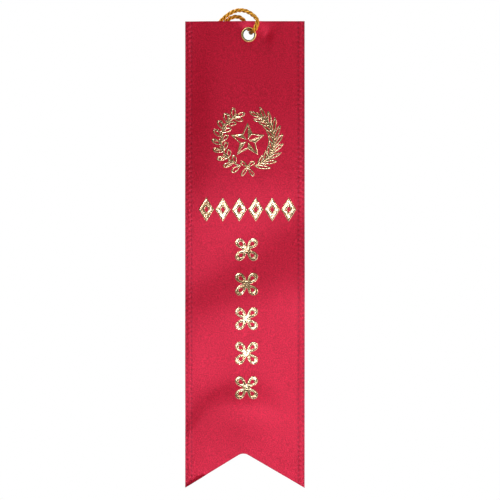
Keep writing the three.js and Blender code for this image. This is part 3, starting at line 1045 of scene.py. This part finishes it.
def polished_brass():
    """Pale brass with fine wear, and painted shade darkening the throat of the barrel."""
    finish = Finish("pale brass")
    wear = finish.noise(finish.scaled(900, 900, 900), detail=3)
    fine = finish.noise(finish.scaled(6000, 2500, 6000), detail=2)
    colour = finish.blend_colours(wear, BRASS_DEEP, BRASS_BRIGHT)
    # Painted shade in the barrel's throat.
    colour = finish.blend_colours(finish.field("throat"), colour, THROAT_SHADE)
    rough = finish.math("ADD", finish.math("MULTIPLY", fine, 0.16), 0.34)
    normal = finish.bump(fine, distance=0.01 * MM, strength=0.4)
    finish.set(Base_Color=colour, Roughness=rough, Metallic=0.75, Normal=normal)
    return finish.material


def twisted_rayon():
    """Golden filaments along each ply, with painted shade between the plies and in the bore."""
    finish = Finish("golden cord")
    place = finish.node("UVMap", uv_map="Weave").outputs["UV"]
    along = finish.node("Mapping", {"Vector": place, "Scale": (3.0, 26.0, 1.0)}).outputs["Vector"]
    filaments = finish.noise(along, detail=2, roughness=0.6)
    drift = finish.noise(finish.scaled(450, 450, 450), detail=2)
    colour = finish.blend_colours(finish.stretched(filaments, 0.3, 0.7), RAYON_DEEP, RAYON_BRIGHT)
    colour = finish.blend_colours(finish.stretched(drift, 0.5, 0.8), colour, RAYON_PATCH)
    # Painted shade darkens the cord towards the grooves between its plies.
    out_of_groove_shade = finish.stretched(finish.field("out_of_groove_shade"), 0.42, 0.82)
    colour = finish.blend_colours(out_of_groove_shade, RAYON_GROOVE_SHADE, colour)
    # Painted shade darkens the cord inside the bore.
    bore_shade = finish.math("MULTIPLY", finish.field("bore_shade"), 0.85)
    colour = finish.blend_colours(bore_shade, colour, RAYON_BORE_SHADE)
    normal = finish.bump(filaments, distance=0.05 * MM, strength=0.8)
    finish.set(Base_Color=colour, Roughness=0.32, Metallic=0.2, Normal=normal)
    finish.set(Specular_IOR_Level=0.7, Specular_Tint=(1.0, 0.75, 0.4, 1.0))
    finish.set(Sheen_Weight=0.06, Sheen_Roughness=0.35, Sheen_Tint=(1.0, 0.75, 0.4, 1.0))
    return finish.material


# ---- Camera, lights and floor ----

LIT_POINT = (0, 0, -0.09)  # in metres, near the middle of the ribbon
# Each softbox's name, place and size in metres, and power in watts.
SOFTBOXES = [
    ("key", (0.36, -0.74, -0.34), (0.42, 0.42), 1.65),
    ("side", (0.75, -0.40, 0.12), (0.25, 0.25), 2.5),
    ("strip", (0.0, -0.75, -0.235), (0.03, 0.15), 0.7),
    ("glint", (0.0, -0.75, -0.12), (0.04, 0.09), 0.18),
    ("above", (-0.3, -0.1, 0.5), (0.2, 0.2), 1.8),
    ("behind", (-0.3, 0.8, 0.5), (0.6, 0.6), 7),
]


def aim(holder, target):
    """Turns a camera or a light towards a point."""
    holder.rotation_euler = (Vector(target) - holder.location).to_track_quat("-Z", "Y").to_euler()


def camera():
    """Square on to the printed face, with a long lens."""
    view_width, lens, sensor = 0.2125, 120.0, 36.0
    middle_x, middle_z = 0.53, -91.5
    data = bpy.data.cameras.new("Camera")
    data.lens, data.sensor_width = lens, sensor
    holder = bpy.data.objects.new("Camera", data)
    bpy.context.scene.collection.objects.link(holder)
    target = Vector((middle_x * MM, 0, middle_z * MM))
    holder.location = target - Vector((0, view_width * lens / sensor, 0))
    aim(holder, target)
    bpy.context.scene.camera = holder


def softbox(name, place, size, watts):
    data = bpy.data.lights.new(name, "AREA")
    data.shape = "RECTANGLE"
    data.size, data.size_y = size
    data.energy = watts
    holder = bpy.data.objects.new(name, data)
    bpy.context.scene.collection.objects.link(holder)
    holder.location = place
    aim(holder, LIT_POINT)


def studio():
    """White all round to the camera. On the object it is a dim glow, a little brighter in front."""
    behind, in_front = 0.03, 0.055
    far_y, near_y = 0.3, -1.0  # the y of the directions between which it brightens
    world = bpy.data.worlds.new("Studio")
    bpy.context.scene.world = world
    world.use_nodes = True
    nodes = Nodes(world.node_tree)
    direction = nodes.node("TexCoord").outputs["Generated"]
    y = nodes.node("SeparateXYZ", {"Vector": direction}).outputs["Y"]
    glow = nodes.stretched(y, far_y, near_y, behind, in_front)
    lit = nodes.node("Background", {"Color": glow, "Strength": 1.0})
    white = nodes.tree.nodes["Background"]
    nodes.put(white.inputs["Color"], (1, 1, 1, 1))
    seen = nodes.node("LightPath").outputs["Is Camera Ray"]
    nodes.show("World Output", seen, lit.outputs["Background"], white.outputs["Background"])


def floor():
    """A large pale floor well below the ribbon, lightened for the camera only."""
    half, level = 1.45, -0.42  # half its width and its height, in metres
    brightness, glow_share = 1.05, 0.9  # of the glow, and its part in what the camera sees
    finish = Finish("pale floor")
    dust = finish.noise(finish.scaled(30, 30, 30), detail=2)
    tone = finish.blend_colours(dust, (0.86, 0.86, 0.86), (0.9, 0.9, 0.9))
    finish.set(Base_Color=tone, Roughness=0.8)
    glow = finish.node("Emission", {"Color": tone, "Strength": brightness})
    seen = finish.node("LightPath").outputs["Is Camera Ray"]
    share = finish.math("MULTIPLY", seen, glow_share)
    finish.show("Material Output", share, finish.shader.outputs["BSDF"], glow.outputs["Emission"])
    mesh = bpy.data.meshes.new("Floor")
    corners = [(x * half, y * half, level) for x, y in ((-1, -1), (1, -1), (1, 1), (-1, 1))]
    mesh.from_pydata(corners, [], [(0, 1, 2, 3)])
    mesh.materials.append(finish.material)
    piece = bpy.data.objects.new("Floor", mesh)
    bpy.context.scene.collection.objects.link(piece)


# ---- The scene ----

camera()
bpy.context.scene.view_settings.view_transform = "Standard"
cord(twisted_rayon())
gold = gold_foil()
foil_pieces = emblem(gold) + marks(gold)
eyelet_piece = eyelet(polished_brass())
cloth = ribbon(satin())
for box_values in SOFTBOXES:
    softbox(*box_values)
studio()
floor()
